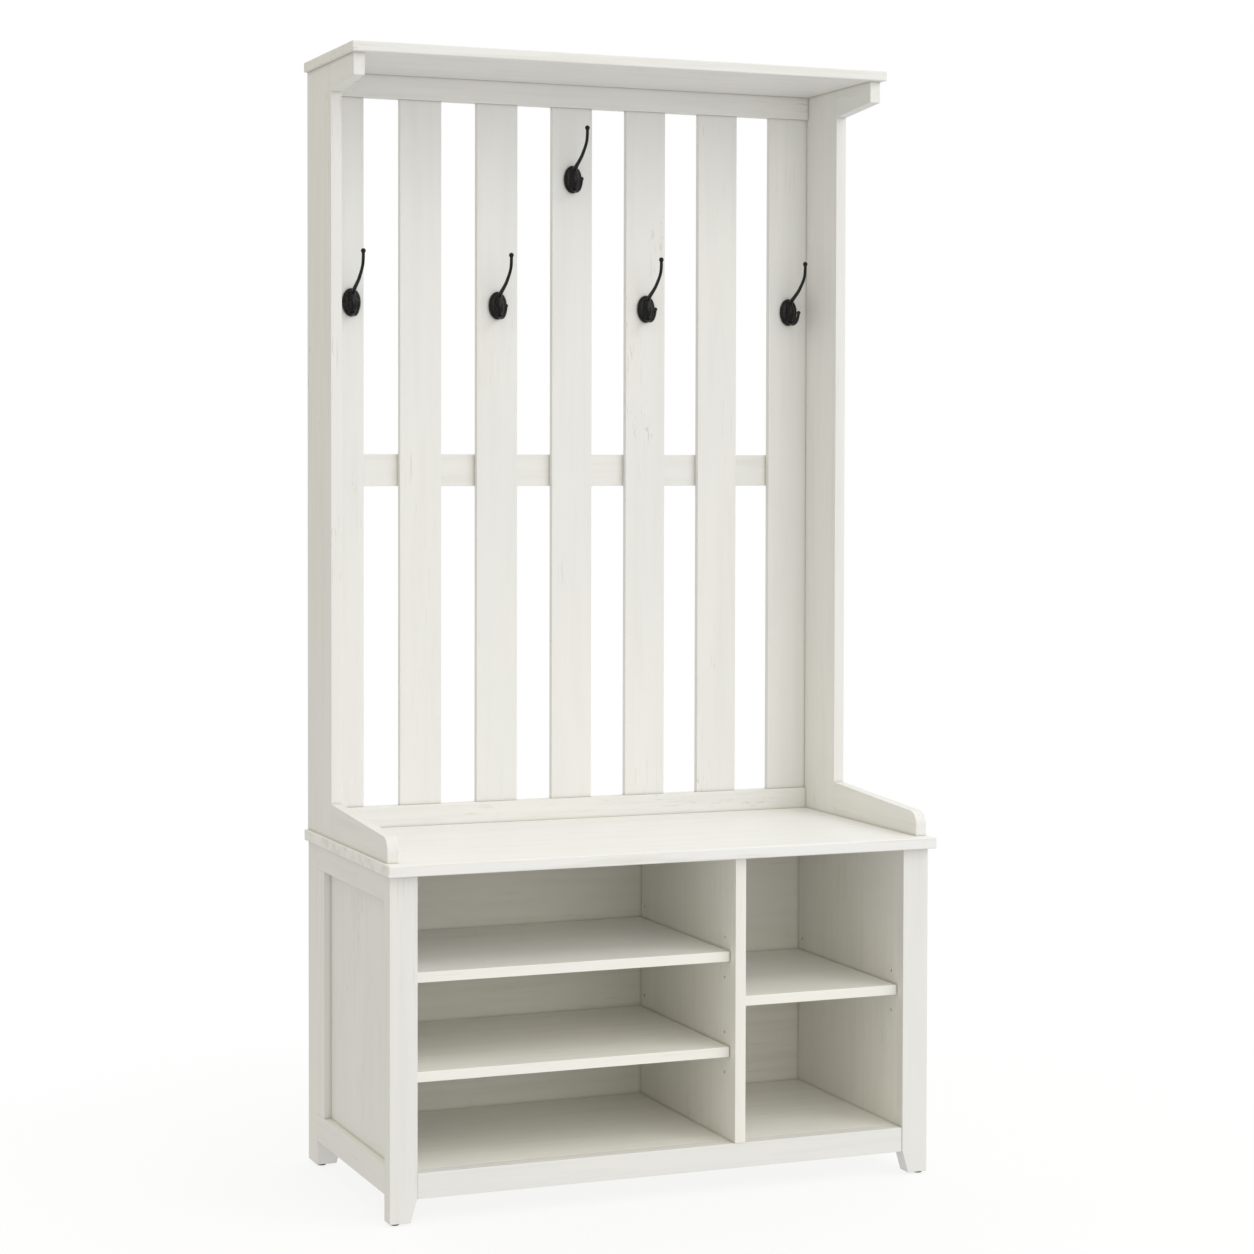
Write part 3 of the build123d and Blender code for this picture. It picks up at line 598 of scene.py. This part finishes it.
def castHookMesh(piece):
    mesh = bmesh.new()
    ovalPlate(mesh, piece["plateHalf"], piece["plateProfile"])
    sweep(mesh, smoothPath(piece["spine"], piece["steps"]), piece["sides"], piece["spineWiden"])
    sweep(mesh, smoothPath(piece["upperProng"], piece["steps"]), piece["sides"])
    arc = piece["lowerArc"]
    lower = []
    for step in range(arc["steps"] + 1):
        share = step / arc["steps"]
        turn = math.radians(arc["from"] + (arc["to"] - arc["from"]) * share)
        thick = arc["thick"][0] + (arc["thick"][1] - arc["thick"][0]) * share
        lower.append(Vector((arc["middle"][0] + arc["radius"] * math.cos(turn),
                             arc["middle"][1] + arc["radius"] * math.sin(turn), thick)))
    sweep(mesh, lower, piece["sides"])
    ball(mesh, *piece["upperBall"])
    ball(mesh, *piece["lowerBall"])
    bmesh.ops.recalc_face_normals(mesh, faces=mesh.faces)
    rough = bpy.data.meshes.new("hookRough")
    mesh.to_mesh(rough)
    mesh.free()

    # fuse the bars, balls and plate into one casting, then soften the joins
    blank = bpy.data.objects.new("hookBlank", rough)
    scene.collection.objects.link(blank)
    fuse = blank.modifiers.new("fuse", "REMESH")
    fuse.mode = "VOXEL"
    fuse.voxel_size = piece["voxel"]
    soften = blank.modifiers.new("soften", "SMOOTH")
    soften.factor = piece["softening"]
    soften.iterations = piece["softenings"]
    graph = bpy.context.evaluated_depsgraph_get()
    cast = bpy.data.meshes.new_from_object(blank.evaluated_get(graph))
    cast.name = "hookCasting"
    bpy.data.objects.remove(blank)
    for face in cast.polygons:
        face.use_smooth = True
    cast.materials.clear()
    cast.materials.append(hookBlack)
    return cast


hookCasting = castHookMesh(coatHook)
for node in coatHook["nodes"]:
    low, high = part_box(node)
    hook = bpy.data.objects.new("cast_" + node, hookCasting)
    scene.collection.objects.link(hook)
    hook.location = ((low[0] + high[0]) / 2, high[1], high[2] - coatHook["middleToTop"])
    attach(hook, "frame")
    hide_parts(node)
print("hooks cast:", len(coatHook["nodes"]), "with", len(hookCasting.polygons), "faces each")


studio = {
    "floorRadius": 9.0,
    "floorColour": (0.93, 0.93, 0.925),
    "floorMottle": 0.99,
    "fadeFrom": 0.45, "fadeTo": 1.5,     # metres from the middle, where the floor melts away
    "sky": (1.0, 1.0, 1.0),
    "farFloorLight": 0.66,
    "nearFloorGlow": 0.80,               # how far the floor has already melted away in the middle
    "skyLight": 0.72,                    # soft light from all round
    "skySlope": (0.20, 0.05, 0.34),      # how it grows to the right, the back and the top
    "skyWarm": (1.0, 0.965, 0.84),       # its tint on the left
    "keyPlace": (2.65, -3.0, 3.9), "keySize": 1.8, "keyPower": 30,
    "frontPlace": (0.95, -4.45, 2.1), "frontSize": 3.0, "frontPower": 32,
}


def makeFloor(setup):
    mesh = bmesh.new()
    bmesh.ops.create_circle(mesh, cap_ends=True, cap_tris=True, segments=96, radius=setup["floorRadius"])
    data = bpy.data.meshes.new("studioFloor")
    mesh.to_mesh(data)
    mesh.free()
    floor = bpy.data.objects.new("studioFloor", data)
    scene.collection.objects.link(floor)
    floor.location.z = cadLow[2] - 0.0005

    material, tree, shader = emptyMaterial("studioFloor")
    coordinates = addNode(tree, "ShaderNodeTexCoord", -900, 0)
    length = addNode(tree, "ShaderNodeVectorMath", -700, 0, operation="LENGTH")
    tree.links.new(coordinates.outputs["Object"], length.inputs[0])
    fade = ramp(tree, length.outputs["Value"], setup["fadeFrom"], setup["fadeTo"], -500, 0,
                setup["nearFloorGlow"])
    mottle = cloud(tree, coordinates.outputs["Object"], 3.0, 3, -700, -250)
    darker = [channel * setup["floorMottle"] for channel in setup["floorColour"]]
    colour = blend(tree, mottle, setup["floorColour"], darker, -300, -200)
    tree.links.new(colour, shader.inputs["Base Color"])
    shader.inputs["Roughness"].default_value = 0.8
    shader.inputs["Specular IOR Level"].default_value = 0.1
    glow = addNode(tree, "ShaderNodeEmission", 300, -250)
    glow.inputs["Color"].default_value = (*setup["sky"], 1)
    rays = addNode(tree, "ShaderNodeLightPath", -100, -450)
    strength = ramp(tree, rays.outputs["Is Camera Ray"], 0, 1, 100, -400, setup["farFloorLight"], 1.0)
    tree.links.new(strength, glow.inputs["Strength"])
    mix = addNode(tree, "ShaderNodeMixShader", 750, -100)
    tree.links.new(fade, mix.inputs[0])
    tree.links.new(shader.outputs[0], mix.inputs[1])
    tree.links.new(glow.outputs[0], mix.inputs[2])
    out = tree.get_output_node("ALL")
    tree.links.new(mix.outputs[0], out.inputs[0])
    data.materials.append(material)


def makeSky(setup):
    world = bpy.data.worlds.new("studioSky")
    scene.world = world
    world.use_nodes = True
    tree = world.node_tree
    tree.nodes.clear()
    out = addNode(tree, "ShaderNodeOutputWorld", 400, 0)
    back = addNode(tree, "ShaderNodeBackground", 200, 0)
    coordinates = addNode(tree, "ShaderNodeTexCoord", -1000, 0)
    lean = addNode(tree, "ShaderNodeVectorMath", -800, 100, operation="DOT_PRODUCT")
    tree.links.new(coordinates.outputs["Generated"], lean.inputs[0])
    lean.inputs[1].default_value = setup["skySlope"]
    glow = calc(tree, "ADD", lean.outputs["Value"], setup["skyLight"], -600, 100)
    split = addNode(tree, "ShaderNodeSeparateXYZ", -800, -200)
    tree.links.new(coordinates.outputs["Generated"], split.inputs[0])
    side = ramp(tree, split.outputs["X"], -0.8, 0.6, -600, -200)
    tint = blend(tree, side, setup["skyWarm"], setup["sky"], -400, -200)
    rays = addNode(tree, "ShaderNodeLightPath", -600, 400)
    seen = rays.outputs["Is Camera Ray"]
    tree.links.new(blend(tree, seen, tint, setup["sky"], -100, -150), back.inputs["Color"])
    level = addNode(tree, "ShaderNodeMix", -100, 150, data_type="FLOAT")
    tree.links.new(seen, level.inputs[0])
    tree.links.new(glow, level.inputs[2])
    level.inputs[3].default_value = 1.0
    tree.links.new(level.outputs[0], back.inputs["Strength"])
    tree.links.new(back.outputs[0], out.inputs[0])


def softBox(name, place, size, power, target=(0, 0, 0.9)):
    data = bpy.data.lights.new(name, "AREA")
    data.shape = "SQUARE"
    data.size = size
    data.energy = power
    light = bpy.data.objects.new(name, data)
    light.location = place
    light.rotation_euler = (Vector(target) - Vector(place)).to_track_quat("-Z", "Y").to_euler()
    scene.collection.objects.link(light)


makeFloor(studio)
makeSky(studio)
for light in ("key", "front"):
    softBox(light + "Light", studio[light + "Place"], studio[light + "Size"], studio[light + "Power"])
print("studio lit")
